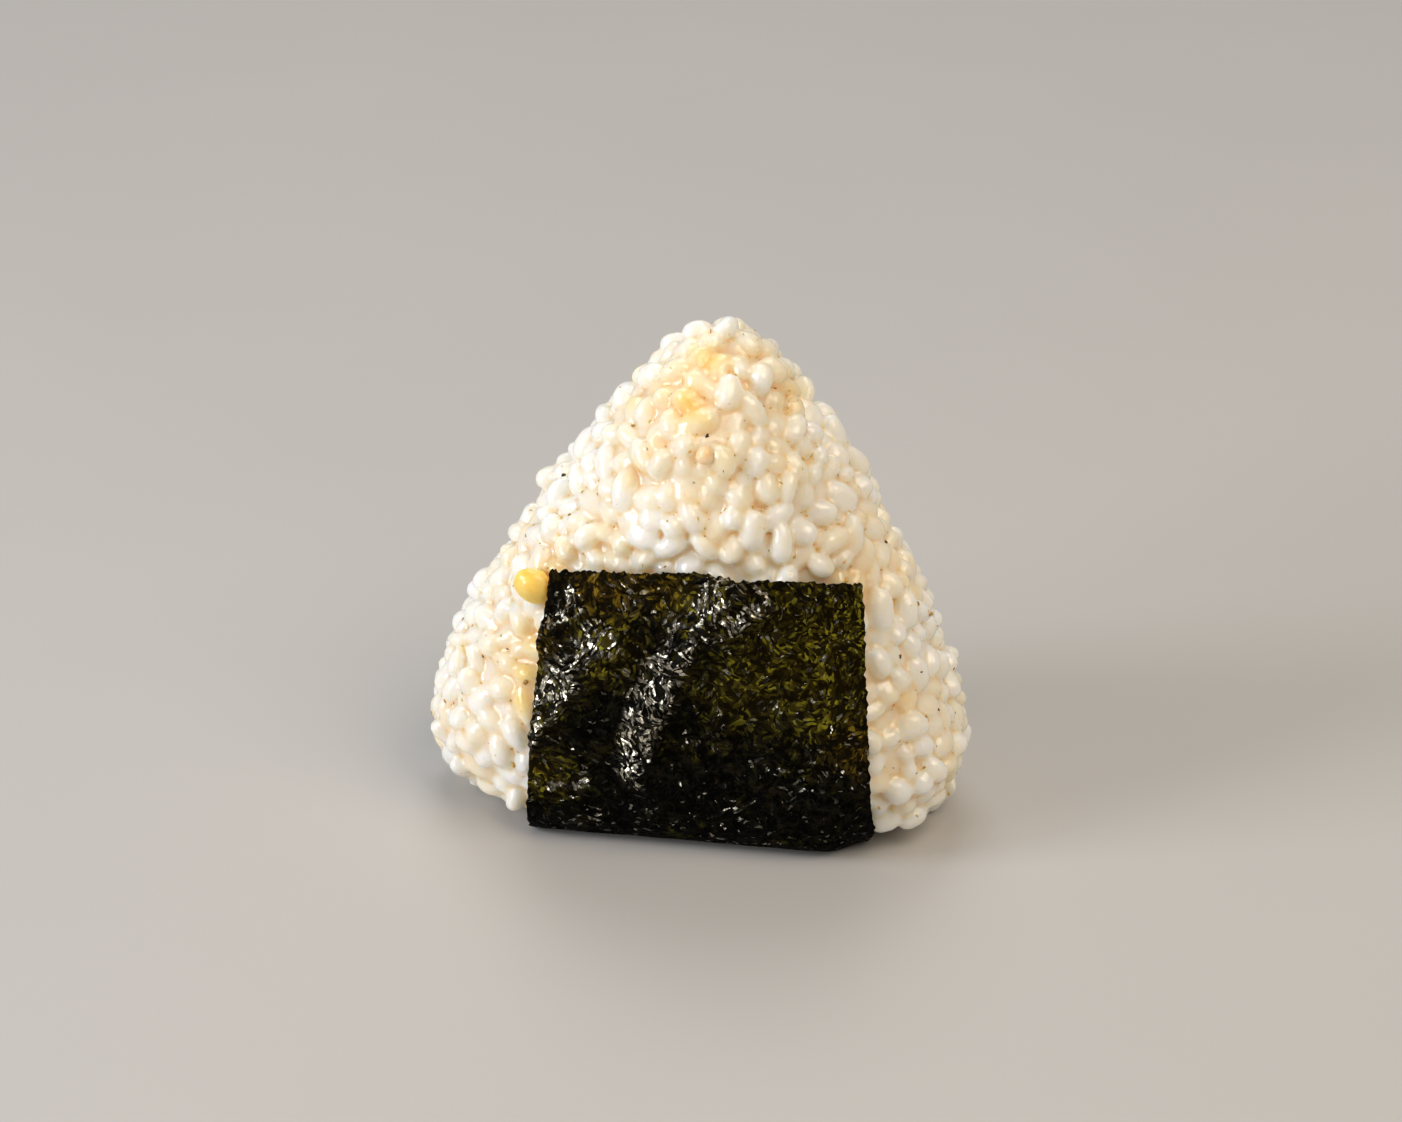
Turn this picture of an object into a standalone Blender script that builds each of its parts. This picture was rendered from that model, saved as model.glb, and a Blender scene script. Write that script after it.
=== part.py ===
"""An onigiri: a triangle of cooked rice pressed by hand, which stands on one side, with a strip of
nori that runs down its front, under its base and up its back. Metres, +Z up, the front towards -Y,
and the origin on the ground under the middle of its box."""

from math import atan2, ceil, cos, hypot, pi, sin, sqrt

import bmesh
import bpy
from mathutils import Vector, noise
from mathutils.bvhtree import BVHTree

# The rice triangle seen from the front, before its base is pressed flat.
WIDTH = 0.0800
HEIGHT = 0.0773
CORNER_RADIUS = 0.0156
APEX_RADIUS = 0.0102
SIDE_RADIUS = 0.1470
APEX_LEAN = 0.0032
# Its thickness, and how far in from the outline the faces reach it: sooner above the base.
THICKNESS = 0.0400
FACE_DEPTH = 0.0250
BASE_DEPTH = 0.0150
ROUND_POWER = 0.90
BASE_PRESS = 0.0038
BASE_ROUNDING = 0.0015
# The unevenness that the grains give it.
LUMP_SIZE, LUMP_HEIGHT = 0.0130, 0.0008
GRAIN_SIZE, GRAIN_HEIGHT = 0.0046, 0.0013
SMOOTH_UNDER_NORI = 0.85
# The nori strip: its two long edges at the base and at its ends, and how high its ends reach.
NORI_LEFT_BASE, NORI_LEFT_END = -0.0230, -0.0180
NORI_RIGHT_BASE, NORI_RIGHT_END = 0.0288, 0.0256
NORI_FRONT_TOP = 0.0462
NORI_BACK_TOP = 0.0440
NORI_CORNER_DROP = 0.0040
NORI_THICKNESS = 0.0005
NORI_GAP = 0.0006
# The strip turns under the rice round a line at this height, over this share of its half length.
TURN_HEIGHT = 0.0170
TURN_SHARE = 0.45

OUTLINE_STEP = 0.0025
RING_COUNT = 17
SKIN_VOXEL = 0.0024
NORI_COLUMNS, NORI_ROWS = 16, 48
# The point that the faces' rounding draws the outline towards.
MIDDLE = Vector((0.0, 0.0, 0.0310))


def material(name, colour, roughness, coat):
    made = bpy.data.materials.new(name)
    made.use_nodes = True
    shader = made.node_tree.nodes["Principled BSDF"]
    shader.inputs["Base Color"].default_value = (*colour, 1.0)
    shader.inputs["Roughness"].default_value = roughness
    shader.inputs["Metallic"].default_value = 0.0
    shader.inputs["Coat Weight"].default_value = coat
    return made


def add_object(name, bm, finish):
    mesh = bpy.data.meshes.new(name)
    bm.to_mesh(mesh)
    bm.free()
    mesh.materials.append(finish)
    made = bpy.data.objects.new(name, mesh)
    bpy.context.scene.collection.objects.link(made)
    return made


def arc(centre, radius, start, end):
    """Points along an arc, about OUTLINE_STEP apart, without its last point."""
    steps = max(2, ceil(abs(end - start) * radius / OUTLINE_STEP))
    angles = [start + (end - start) * i / steps for i in range(steps)]
    return [(centre[0] + radius * cos(a), centre[1] + radius * sin(a)) for a in angles]


def side_centre(corner, apex):
    """The centre of the wide arc that runs on smoothly from the corner's circle to the apex's."""
    from_corner = SIDE_RADIUS - CORNER_RADIUS
    from_apex = SIDE_RADIUS - APEX_RADIUS
    across = apex[0] - corner[0]
    up = apex[1] - corner[1]
    apart = hypot(across, up)
    along = (from_corner**2 - from_apex**2 + apart**2) / (2 * apart)
    aside = sqrt(from_corner**2 - along**2)
    x = corner[0] + (across * along - up * aside) / apart
    z = corner[1] + (up * along + across * aside) / apart
    return x, z


def half_outline(lean):
    """The right half of the outline, from the base's end up to the apex, which is moved by lean."""
    corner = (WIDTH / 2 - CORNER_RADIUS, CORNER_RADIUS)
    apex = (lean, HEIGHT - APEX_RADIUS)
    centre = side_centre(corner, apex)
    low = atan2(corner[1] - centre[1], corner[0] - centre[0])
    high = atan2(apex[1] - centre[1], apex[0] - centre[0])
    corner_arc = arc(corner, CORNER_RADIUS, -pi / 2, low)
    side_arc = arc(centre, SIDE_RADIUS, low, high)
    apex_arc = arc(apex, APEX_RADIUS, high, pi / 2)
    return corner_arc + side_arc + apex_arc


def outline():
    """The whole outline as (x, z), anticlockwise seen from the front."""
    right = half_outline(APEX_LEAN)
    left = [(-x, z) for x, z in half_outline(-APEX_LEAN)]
    flat_half = WIDTH / 2 - CORNER_RADIUS
    steps = ceil(2 * flat_half / OUTLINE_STEP)
    base = [(flat_half * (2 * i / steps - 1), 0.0) for i in range(1, steps)]
    return base + right + [(APEX_LEAN, HEIGHT)] + left[::-1]


def add_ring(bm, points, turn):
    """One loop of the rice, where the rounding from the narrow side to a face has come to turn."""
    share_in = 1 - cos(turn) ** ROUND_POWER
    share_deep = abs(sin(turn)) ** ROUND_POWER
    y = THICKNESS / 2 * (share_deep if turn > 0 else -share_deep)
    verts = []
    for x, z in points:
        out = Vector((x, 0.0, z)) - MIDDLE
        down = max(0.0, -out.normalized().z)
        depth = FACE_DEPTH + (BASE_DEPTH - FACE_DEPTH) * down**2
        place = MIDDLE + out * (1 - share_in * depth / out.length)
        verts.append(bm.verts.new((place.x, y, place.z)))
    return [bm.edges.new(pair) for pair in zip(verts, verts[1:] + verts[:1])]


def nori_edges(up):
    """The x of the strip's two long edges: up is 0 under the base and 1 at its ends."""
    left = NORI_LEFT_BASE + (NORI_LEFT_END - NORI_LEFT_BASE) * up
    right = NORI_RIGHT_BASE + (NORI_RIGHT_END - NORI_RIGHT_BASE) * up
    return left, right


def under_nori(place):
    """1 under the strip and 0 clear of it, where the grains stand free."""
    left, right = nori_edges(min(1.0, place.z / NORI_FRONT_TOP))
    beyond = max(left - place.x, place.x - right, place.z - NORI_FRONT_TOP)
    return min(1.0, max(0.0, 1.5 - beyond / GRAIN_SIZE))


def unevenness(place):
    """How far the grains lift the surface: wide lumps, and one round bump to a grain."""
    lump = LUMP_HEIGHT * noise.noise(place / LUMP_SIZE)
    distances, _ = noise.voronoi(place / GRAIN_SIZE)
    bump = GRAIN_HEIGHT * (0.5 - distances[0])
    return (lump + bump) * (1 - SMOOTH_UNDER_NORI * under_nori(place))


def press_base(place):
    """The rice is pressed flat on the ground at both ends and on the nori between them, and it
    rounds up from there."""
    floor = (NORI_THICKNESS + NORI_GAP) * under_nori(place)
    above = place.z - BASE_PRESS - floor
    if above < BASE_ROUNDING:
        above = max(0.0, above + BASE_ROUNDING) ** 2 / (4 * BASE_ROUNDING)
    return Vector((place.x, place.y, floor + above))


def add_rice():
    """Loops from the back face to the front one, skinned evenly, then made uneven and pressed."""
    points = outline()
    bm = bmesh.new()
    rings = []
    for index in range(1, RING_COUNT + 1):
        rings.append(add_ring(bm, points, pi * (index / (RING_COUNT + 1) - 0.5)))
    for before, after in zip(rings, rings[1:]):
        bmesh.ops.bridge_loops(bm, edges=before + after)
    bmesh.ops.holes_fill(bm, edges=rings[0] + rings[-1])
    bmesh.ops.recalc_face_normals(bm, faces=bm.faces)
    rice = add_object("rice", bm, material("rice", (0.84, 0.76, 0.60), 0.40, 0.3))
    skin = rice.modifiers.new("even skin", "REMESH")
    skin.mode = "VOXEL"
    skin.voxel_size = SKIN_VOXEL
    evaluated = rice.evaluated_get(bpy.context.evaluated_depsgraph_get())
    rice.data = bpy.data.meshes.new_from_object(evaluated)
    rice.modifiers.clear()
    for vertex in rice.data.vertices:
        vertex.co = press_base(vertex.co + vertex.normal * unevenness(vertex.co))
    rice.data.shade_smooth()
    return rice


def nori_ray(x, along, top):
    """The ray that finds the strip's place on the rice: along is -1 at its front end and 1 at its
    back end. The rays are level on the two panels and fan out round the turn between them."""
    side = 1 if along > 0 else -1
    beyond = (abs(along) - TURN_SHARE) / (1 - TURN_SHARE)
    if beyond > 0:
        height = TURN_HEIGHT + (top - TURN_HEIGHT) * beyond
        return Vector((x, 0.0, height)), Vector((0.0, side, 0.0))
    angle = pi / 2 * along / TURN_SHARE
    return Vector((x, 0.0, TURN_HEIGHT)), Vector((0.0, sin(angle), -cos(angle)))


def add_nori(rice):
    """A grid laid round the rice, moved a thin gap off it, thickened outwards and flat below."""
    tree = BVHTree.FromObject(rice, bpy.context.evaluated_depsgraph_get())
    bm = bmesh.new()
    bmesh.ops.create_grid(bm, x_segments=NORI_COLUMNS, y_segments=NORI_ROWS, size=1.0)
    for vertex in bm.verts:
        across, along = vertex.co.x, vertex.co.y
        left, right = nori_edges(abs(along))
        end = NORI_FRONT_TOP if along < 0 else NORI_BACK_TOP
        x = left + (right - left) * (across + 1) / 2
        start, way = nori_ray(x, along, end - NORI_CORNER_DROP * across**2)
        vertex.co = tree.ray_cast(start, way)[0]
    bmesh.ops.recalc_face_normals(bm, faces=bm.faces)
    for vertex in bm.verts:
        vertex.co -= vertex.normal * NORI_GAP
    bmesh.ops.solidify(bm, geom=bm.faces[:], thickness=NORI_THICKNESS)
    for vertex in bm.verts:
        if vertex.co.z < NORI_GAP / 2:
            vertex.co.z = 0.0
    nori = add_object("nori", bm, material("nori", (0.018, 0.024, 0.010), 0.38, 0.5))
    nori.data.shade_smooth()
    return nori


def main():
    for made in list(bpy.data.objects):
        bpy.data.objects.remove(made)
    rice = add_rice()
    add_nori(rice)


main()
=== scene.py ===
from math import cos, exp, pi, radians, sin

import bmesh
import bpy
import numpy as np
from mathutils import Matrix, Vector, noise
from mathutils.bvhtree import BVHTree
from mathutils.kdtree import KDTree


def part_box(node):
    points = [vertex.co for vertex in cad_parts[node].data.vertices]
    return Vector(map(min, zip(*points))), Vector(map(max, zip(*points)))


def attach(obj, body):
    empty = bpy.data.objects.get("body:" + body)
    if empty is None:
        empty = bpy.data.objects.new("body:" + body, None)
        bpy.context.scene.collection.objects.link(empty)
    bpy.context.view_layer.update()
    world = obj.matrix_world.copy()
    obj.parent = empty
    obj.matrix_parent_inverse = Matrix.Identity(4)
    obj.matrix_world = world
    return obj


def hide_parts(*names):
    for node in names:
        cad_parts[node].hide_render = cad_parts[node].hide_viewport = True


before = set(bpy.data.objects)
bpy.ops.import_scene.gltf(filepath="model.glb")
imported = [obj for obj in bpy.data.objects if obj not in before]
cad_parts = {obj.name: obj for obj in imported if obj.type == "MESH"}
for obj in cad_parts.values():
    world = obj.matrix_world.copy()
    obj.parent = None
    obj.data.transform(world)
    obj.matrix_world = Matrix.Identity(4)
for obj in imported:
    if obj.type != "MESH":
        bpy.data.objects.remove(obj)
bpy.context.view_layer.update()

# The pressed body: the triangle that wet hands leave, with no grain in it yet. It isn't a piece by
# itself. The grains are packed against its surface from inside, and the nori is laid round it.

BODY_SMOOTHING = 8
BODY_SWELL = 0.0004
PEAK_START = 0.0500
PEAK_RISE = 0.0016
FOOT_HEIGHT = 0.0120
FOOT_START = 0.0220
FOOT_FADE = 0.0040
FOOT_RECEDES_LEFT, FOOT_RECEDES_RIGHT = 0.0032, 0.0034

body_form = bmesh.new()
body_form.from_mesh(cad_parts["rice"].data)
bmesh.ops.remove_doubles(body_form, verts=body_form.verts, dist=0.00001)
bmesh.ops.subdivide_edges(body_form, edges=body_form.edges, cuts=1, use_grid_fill=True)
all_axes = {"use_axis_x": True, "use_axis_y": True, "use_axis_z": True}
for _ in range(BODY_SMOOTHING):
    bmesh.ops.smooth_vert(body_form, verts=body_form.verts, factor=0.5, **all_axes)
bmesh.ops.recalc_face_normals(body_form, faces=body_form.faces)
peak = max(vertex.co.z for vertex in body_form.verts)
for vertex in body_form.verts:
    vertex.co += vertex.normal * BODY_SWELL
    low_share = max(0.0, 1 - vertex.co.z / FOOT_HEIGHT) ** 1.5
    recede = FOOT_RECEDES_LEFT if vertex.co.x < 0 else FOOT_RECEDES_RIGHT
    recede *= low_share * min(1.0, max(0.0, (abs(vertex.co.x) - FOOT_START) / FOOT_FADE))
    vertex.co.y -= min(recede, abs(vertex.co.y)) * (1 if vertex.co.y > 0 else -1)
    share = max(0.0, vertex.co.z - PEAK_START) / (peak - PEAK_START)
    vertex.co.z = max(0.0, vertex.co.z + PEAK_RISE * share)
body_form.normal_update()
body = BVHTree.FromBMesh(body_form)

# Where the nori will lie: a strip round the front, the base and the back, narrower at its two ends
# and tucked in a little where it turns under. It is laid out before the grains, which close up
# against its edges.

strip_low, strip_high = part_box("nori")
STRIP_NARROWS_LEFT = 0.0050
STRIP_NARROWS_RIGHT = 0.0038
STRIP_BACK_LOWER = 0.0058
STRIP_CORNER_DROP = 0.0040
STRIP_TUCK_LEFT, STRIP_TUCK_RIGHT = 0.0010, 0.0050
TUCK_END, TUCK_FADE = 0.30, 0.20


def strip_edges(up):
    """The x of the strip's two long edges: up is 0 under the base and 1 at its ends."""
    tuck = min(1.0, max(0.0, (TUCK_END - up) / TUCK_FADE)) ** 1.5
    left = strip_low.x + STRIP_NARROWS_LEFT * up + STRIP_TUCK_LEFT * tuck
    right = strip_high.x - STRIP_NARROWS_RIGHT * up**1.6 - STRIP_TUCK_RIGHT * tuck
    return left, right


def strip_cover(place):
    """How far inside the strip's edges a place on the rice lies: negative outside them."""
    top = strip_high.z - (STRIP_BACK_LOWER if place[1] > 0 else 0.0)
    left, right = strip_edges(min(1.0, max(0.0, place[2] / top)))
    across = 2 * (place[0] - left) / (right - left) - 1
    return min(place[0] - left, right - place[0], top - STRIP_CORNER_DROP * across**2 - place[2])


# The rice grains: cooked short grain, plump and slightly bent, each its own closed shape. They are
# scattered in a layer under the body's surface and then pressed outwards against it and against
# each other, as the hands do, until they lie close and only a little squeezed.

GRAIN_COUNT = 1120
GRAIN_LENGTH = 0.0055
GRAIN_WIDTH = 0.0037
GRAIN_THICKNESS = 0.0034
# How blunt the ends are, and how far a grain may taper, bend, flatten and ripple.
BLUNT_POWER, BLUNT_LIMIT = 2.35, 1.25
TAPER, BEND, FLATTEST = 0.16, 0.09, 0.84
RIPPLE_HEIGHT, RIPPLE_PITCH = 0.00014, 420.0
LAYER_TOP, LAYER_DEPTH = 0.0012, 0.0060
UNDER_STRIP = 0.0035
BY_STRIP, WALL_BY_STRIP = 0.0015, 0.0004
PROUD_SHARE = 0.30
PROUD_BY, SUNK_BY = 0.0005, 0.0006
# Proud grains stand in clusters, and fewer of them on the upper front, which the palm smoothed.
CLUSTER_SIZE, CLUSTER_CONTRAST, CLUSTER_MOST = 0.0120, 2.2, 2.4
CLUSTER_SHIFT = Vector((3.1, 0.0, 0.0))
CALM_START, CALM_FADE, CALM_SHARE = 0.0580, 0.0060, 0.6
MILK_PROUD, MILK_SUNK = (0.50, 1.0), (0.0, 0.50)
DENT_SIZE, DENT_DEPTH = 0.0110, 0.0009
# Where the hand pressed a hollow: middle, reach and depth.
HOLLOWS = (
    ((0.0040, -0.0170, 0.0635), 0.0045, 0.0012),
    ((0.0070, -0.0180, 0.0550), 0.0030, 0.0009),
    ((-0.0080, -0.0190, 0.0480), 0.0030, 0.0006),
    ((0.0010, 0.0170, 0.0600), 0.0050, 0.0010),
)
SQUEEZE = 0.22
PRESS_STEPS = 60
PAIRS_KEPT = 5
PAIR_MARGIN = 0.0008
LIFT_REACH, LIFT_SHARE = 0.0004, 0.25
MOVE_SHARE = 1.4
WALL_TURNS = 0.35
BEADS = np.array([-1.0, -1 / 3, 1 / 3, 1.0])
# Grains that stand free of the mass: middle, direction, length, width and how milky.
FREE_GRAINS = (
    ((-0.0219, 0.0005, 0.0490), (0.6, 0.7, 0.2), 0.0044, 0.0037, 0.9),
    ((0.0108, -0.0169, 0.0518), (0.14, 0.0, 1.0), 0.0070, 0.0037, 0.70),
    ((0.0148, -0.0159, 0.0495), (0.02, 0.0, 1.0), 0.0066, 0.0035, 0.65),
    ((0.0237, -0.0081, 0.0479), (-0.15, 0.35, 1.0), 0.0062, 0.0036, 0.65),
    ((-0.0008, -0.0180, 0.0490), (0.8, 0.0, 0.5), 0.0054, 0.0038, 0.90),
    ((0.0024, -0.0180, 0.0534), (-0.4, 0.1, 0.8), 0.0050, 0.0036, 0.90),
    ((-0.0030, -0.0174, 0.0528), (0.9, 0.1, 0.3), 0.0050, 0.0036, 0.80),
    ((-0.0001, 0.0000, 0.0738), (1.0, 0.2, 0.15), 0.0052, 0.0034, 0.80),
    ((0.0040, 0.0002, 0.0748), (0.3, 1.0, 0.2), 0.0046, 0.0033, 0.80),
    ((0.0192, 0.0020, 0.0590), (-0.4, 0.2, 0.9), 0.0056, 0.0036, 0.80),
    ((0.0222, 0.0020, 0.0546), (-0.5, -0.3, 0.8), 0.0058, 0.0036, 0.80),
    ((0.0280, -0.0096, 0.0373), (-0.05, 0.3, 1.0), 0.0068, 0.0040, 0.65),
    ((0.0310, -0.0055, 0.0355), (-0.15, 0.3, 1.0), 0.0066, 0.0040, 0.65),
    ((0.0328, -0.0116, 0.0201), (1.0, 0.4, 0.3), 0.0058, 0.0046, 0.70),
    ((0.0296, -0.0135, 0.0053), (1.0, 0.3, 0.2), 0.0054, 0.0036, 0.70),
    ((0.0330, -0.0111, 0.0050), (0.9, 0.5, 0.3), 0.0052, 0.0036, 0.70),
    ((-0.0237, -0.0168, 0.0054), (0.3, 0.2, 1.0), 0.0046, 0.0034, 0.60),
    ((-0.0280, -0.0154, 0.0118), (0.5, 0.1, 0.8), 0.0056, 0.0037, 0.70),
)

random = np.random.default_rng(11)


def scatter_on_body(count):
    """Places on the body's surface and their normals, even over its area, clear of the strip."""
    faces = list(body_form.faces)
    areas = np.array([face.calc_area() for face in faces])
    picks = random.choice(len(faces), size=count * 4, p=areas / areas.sum())
    places, normals = [], []
    for pick in picks:
        face = faces[pick]
        weights = random.dirichlet((1.0, 1.0, 1.0, 1.0)[: len(face.verts)])
        place = sum((v.co * w for v, w in zip(face.verts, weights)), Vector())
        if strip_cover(place) < UNDER_STRIP and len(places) < count:
            places.append(place)
            normals.append(face.normal)
    return np.array(places), np.array(normals)


def unit(vectors):
    """The vectors, each with a length of one."""
    return vectors / np.linalg.norm(vectors, axis=-1, keepdims=True)


def depths_in_body(points):
    """How deep the points lie under the body's surface, and which way is out."""
    depths = np.empty(len(points))
    outs = np.empty((len(points), 3))
    for index, point in enumerate(points):
        place, normal, _, _ = body.find_nearest(point)
        depths[index] = (place - Vector(point)).dot(normal)
        outs[index] = normal
    return depths, outs


def press(centres, axes, halves, radii, walls, held):
    """Pushes the grains apart and out against the body's surface, each taken as a row of beads."""
    held_centres, held_axes = centres[held], axes[held]
    owner = np.repeat(np.arange(len(centres)), len(BEADS))
    arms = np.outer(halves, BEADS).reshape(-1)
    bead_radii = np.repeat(radii, len(BEADS))
    bead_walls = np.repeat(walls, len(BEADS)) + bead_radii
    reach = 2 * radii.max() + PAIR_MARGIN
    for step in range(PRESS_STEPS):
        beads = centres[owner] + axes[owner] * arms[:, None]
        if step % PAIRS_KEPT == 0:
            squares = (beads**2).sum(axis=1)
            apart = squares[:, None] + squares[None, :] - 2 * beads @ beads.T
            first, second = np.nonzero(apart < reach**2)
            keep = (first < second) & (owner[first] != owner[second])
            first, second = first[keep], second[keep]
        depths, outs = depths_in_body(beads)
        lift = np.clip(depths - bead_walls, 0.0, LIFT_REACH) * LIFT_SHARE * (1 - step / PRESS_STEPS)
        sink = np.clip(bead_walls - depths, 0.0, None)
        by_wall = (outs * (lift - sink)[:, None]).reshape(len(centres), len(BEADS), 3)
        gap = beads[first] - beads[second]
        length = np.linalg.norm(gap, axis=1) + 1e-9
        overlap = (bead_radii[first] + bead_radii[second]) * (1 - SQUEEZE) - length
        shove = gap * (np.clip(overlap, 0.0, None) / length * 0.5)[:, None]
        shoves = np.zeros_like(beads)
        np.add.at(shoves, first, shove)
        np.add.at(shoves, second, -shove)
        by_grains = shoves.reshape(len(centres), len(BEADS), 3)
        centres = centres + (by_grains.mean(axis=1) + by_wall.mean(axis=1)) * MOVE_SHARE
        turning = by_grains + by_wall * WALL_TURNS
        turns = (turning * BEADS[None, :, None]).sum(axis=1) / (BEADS**2).sum()
        axes = unit(axes + turns / halves[:, None])
        centres[held], axes[held] = held_centres, held_axes
    return centres, axes


def ball_form(cuts):
    """A ball of a few dozen faces, as arrays: its places and its faces."""
    bm = bmesh.new()
    bmesh.ops.create_cube(bm, size=2.0)
    bmesh.ops.subdivide_edges(bm, edges=bm.edges, cuts=cuts, use_grid_fill=True)
    for vertex in bm.verts:
        vertex.co.normalize()
    bm.verts.index_update()
    ball = np.array([vertex.co for vertex in bm.verts])
    faces = np.array([[vertex.index for vertex in face.verts] for face in bm.faces])
    bm.free()
    return ball, faces


def grains_from(ball, centres, axes, lengths, widths):
    """Every grain's places: blunt ends, one narrower than the other, a slight bend, uneven sides."""
    draw = np.random.default_rng(5)
    count = len(centres)
    along = ball[None, :, 2]
    blunt = (1 - np.abs(along) ** BLUNT_POWER) ** 0.5 / np.sqrt(np.clip(1 - along**2, 1e-6, None))
    blunt = np.minimum(blunt, BLUNT_LIMIT)
    taper = 1 - draw.uniform(0.0, TAPER, (count, 1)) * along
    bend = draw.uniform(0.0, BEND, (count, 1)) * (along**2 - 0.3)
    thin = draw.uniform(FLATTEST, 1.0, (count, 1)) * GRAIN_THICKNESS / GRAIN_WIDTH
    wide = widths[:, None] / 2
    local = np.empty((count, ball.shape[0], 3))
    local[:, :, 0] = ball[None, :, 0] * wide * blunt * taper + bend * lengths[:, None]
    local[:, :, 1] = ball[None, :, 1] * wide * blunt * taper * thin
    local[:, :, 2] = along * lengths[:, None] / 2
    waves = draw.normal(size=(count, 1, 3, 3)) * RIPPLE_PITCH
    phases = draw.uniform(0.0, 2 * pi, (count, 1, 3))
    local += RIPPLE_HEIGHT * np.sin((local[:, :, None, :] * waves).sum(axis=3) + phases)
    side = unit(np.cross(axes, unit(draw.normal(size=(count, 3)))))
    frame_axes = np.stack((side, np.cross(axes, side), axes), axis=1)
    places = centres[:, None, :] + local @ frame_axes
    places[:, :, 2] = np.maximum(places[:, :, 2], 0.0)
    return places


def joined_mesh(name, places, faces):
    """One mesh of many copies: places is copies x points x 3, and faces are one copy's."""
    count, points = places.shape[:2]
    all_faces = faces[None, :, :] + (np.arange(count) * points)[:, None, None]
    mesh = bpy.data.meshes.new(name)
    mesh.from_pydata(places.reshape(-1, 3), [], all_faces.reshape(-1, faces.shape[1]))
    mesh.shade_smooth()
    return mesh


def add_piece(name, mesh, finish):
    """An object at the origin, with its place in its mesh."""
    piece = bpy.data.objects.new(name, mesh)
    bpy.context.scene.collection.objects.link(piece)
    mesh.materials.clear()
    mesh.materials.append(finish)
    return piece


def add_attribute(mesh, name, values):
    """A value for each point, which a material reads by name."""
    layer = mesh.attributes.new(name, "FLOAT", "POINT")
    layer.data.foreach_set("value", np.asarray(values, dtype=np.float32))


surface, outward = scatter_on_body(GRAIN_COUNT)
grain_sizes = random.normal(1.0, 0.08, GRAIN_COUNT).clip(0.80, 1.18)
grain_lengths = GRAIN_LENGTH * grain_sizes * random.uniform(0.82, 1.12, GRAIN_COUNT)
grain_widths = GRAIN_WIDTH * grain_sizes
clusters = [noise.noise(Vector(place) / CLUSTER_SIZE + CLUSTER_SHIFT) for place in surface]
proud_chance = PROUD_SHARE * np.clip(1 + CLUSTER_CONTRAST * np.array(clusters), 0.0, CLUSTER_MOST)
calm_top = np.clip((surface[:, 2] - CALM_START) / CALM_FADE, 0, 1) * (surface[:, 1] < 0)
proud_chance *= 1 - CALM_SHARE * calm_top
proud = random.random(GRAIN_COUNT) < proud_chance
near_strip = np.array([strip_cover(place) for place in surface]) > -BY_STRIP
grain_walls = np.where(
    proud, random.uniform(-PROUD_BY, 0.0, GRAIN_COUNT), random.uniform(0.0, SUNK_BY, GRAIN_COUNT)
)
dents = np.array([noise.noise(Vector(place) / DENT_SIZE) for place in surface])
grain_walls += DENT_DEPTH * dents
for middle, reach, depth in HOLLOWS:
    away_from = np.linalg.norm(surface - np.array(middle), axis=1)
    grain_walls += depth * np.exp(-((away_from / reach) ** 2))
grain_walls = np.where(near_strip, WALL_BY_STRIP, grain_walls)
start = surface - outward * random.uniform(LAYER_TOP, LAYER_DEPTH, GRAIN_COUNT)[:, None]
start[proud] = surface[proud] - outward[proud] * LAYER_TOP
milk = np.where(
    proud, random.uniform(*MILK_PROUD, GRAIN_COUNT), random.uniform(*MILK_SUNK, GRAIN_COUNT)
)
start_axes = unit(random.normal(size=(GRAIN_COUNT, 3)))
free = [np.array([grain[part] for grain in FREE_GRAINS]) for part in range(5)]
held = np.arange(GRAIN_COUNT + len(FREE_GRAINS)) >= GRAIN_COUNT
grain_lengths = np.append(grain_lengths, free[2])
grain_widths = np.append(grain_widths, free[3])
milk = np.append(milk, free[4])
grain_centres, grain_axes = press(
    np.vstack((start, free[0])),
    np.vstack((start_axes, unit(free[1]))),
    (grain_lengths - grain_widths) / 2,
    grain_widths / 2,
    np.append(grain_walls, np.zeros(len(FREE_GRAINS))),
    held,
)
grain_ball, grain_faces = ball_form(2)

# The rice mass: the grains of the first layer and the ones below them, glued by starch into one
# skin. The starch fills the valleys between the grains, so only their backs stand out.

CORE_DEPTH = 0.0022
CORE_DEPTH_UNDER_STRIP = 0.0006
CORE_INSIDE = 0.0010
SKIN_VOXEL = 0.00034
SKIN_TRIANGLES = 190000
STARCH_REACH = 30
STARCH_FILL = 0.74
GRAIN_WEAR = 0.06
SKIN_LIFT = 0.00005
# A place on the skin takes its milkiness from the grains nearest to it, the nearest the most.
NEAR_BEADS, NEAR_MARGIN, NEAR_POWER = 3, 0.0012, -4.0
# How far the grains have run into each other: less where they are milky, more where the hand rubbed
# them, at the top and on the left flank, and less on the narrow sides and low on the faces.
FUSING, FUSING_PROUD, FUSING_MOST = 0.87, 0.50, 0.90
MILKY_START, MILKY_SLOPE = 0.30, 3.0
RUBBED_FUSING = 0.24
TOP_START, TOP_FULL = 0.0530, 0.0590
FLANK_START, FLANK_SLOPE, FLANK_FADE = 0.0040, 0.20, 0.0080
FLANK_TOP, FLANK_BACK = 0.0600, 0.0040
# A painted highlight: the left flank, which faces the key light, is made whiter by this much milk.
FLANK_PAINTED_LIGHT = 0.35
FUSING_SIDES = 0.35
FUSING_LOW = 0.30
LOW_END, LOW_START = 0.0400, 0.0520
FACE_START, FACE_FULL = 0.40, 0.72
# The hollow and crease measures also set painted shade in the rice's colour: a darker, warmer tan in
# the valleys and in thin lines where the grains meet.
HOLLOW_START, HOLLOW_FULL = 0.00004, 0.00030
CREASE_REACH, CREASE_FULL = 6, 0.00006
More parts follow.
